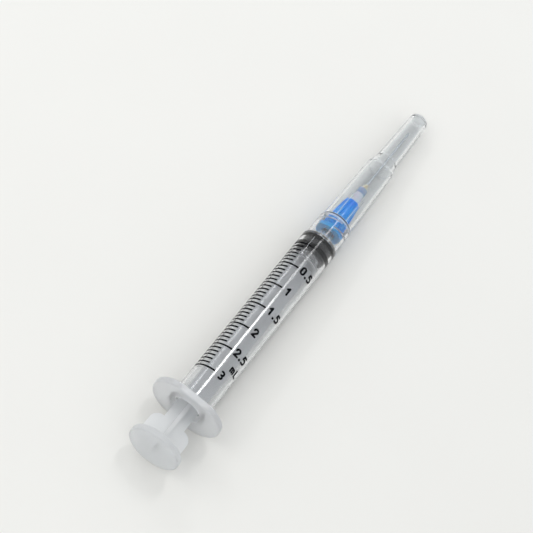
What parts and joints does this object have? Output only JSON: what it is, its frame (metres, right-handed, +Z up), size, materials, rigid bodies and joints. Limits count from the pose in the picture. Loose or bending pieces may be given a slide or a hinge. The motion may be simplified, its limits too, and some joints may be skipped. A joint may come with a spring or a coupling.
{
  "type": "disposable syringe",
  "caption": "Disposable syringe with a lock-collar tip: clear barrel and cross-ribbed plunger, rubber gasket, printed millilitre scale, blue-hubbed needle and clear cap.",
  "frame": {"origin": "middle of the bounding box's bottom face, on the surface the syringe lies on", "axes": "+X along the syringe from thumb disc to needle cap, level; +Y to the side of the scale's marks; +Z up, with the printed scale on top; the syringe's own axis dips towards the needle by 1.99 degrees"},
  "size_m": [0.1324, 0.0208, 0.0155],
  "materials": {
    "clear_polypropylene": "clear moulded polypropylene, slightly milky",
    "black_ink": "screen-printed ink",
    "rod_polypropylene": "translucent moulded polypropylene",
    "black_rubber": "moulded, siliconed rubber",
    "blue_polypropylene": "translucent blue moulding",
    "beige_epoxy": "set adhesive bead",
    "polished_steel": "drawn and polished stainless steel",
    "cap_polypropylene": "clear moulding, faintly blue"
  },
  "bodies": {
    "barrel": {"barrel": "clear_polypropylene", "scale_marks": "black_ink", "scale_numbers": "black_ink"},
    "plunger": {"plunger_rod": "rod_polypropylene", "gasket": "black_rubber"},
    "needle": {"needle_hub": "blue_polypropylene", "hub_adhesive": "beige_epoxy", "needle_cannula": "polished_steel"},
    "cap": {"needle_cap": "cap_polypropylene"}
  },
  "joints": [
    {"name": "plunger_slide", "type": "slide", "parent": "barrel", "child": "plunger", "axis": [-0.9994, 0, 0.0347], "range_m": [0, 0.0552]},
    {"name": "needle_pull", "type": "slide", "parent": "barrel", "child": "needle", "axis": [0.9994, 0, -0.0347], "range_m": [0, 0.02]},
    {"name": "cap_pull", "type": "slide", "parent": "needle", "child": "cap", "axis": [0.9994, 0, -0.0347], "range_m": [0, 0.05]}
  ]
}
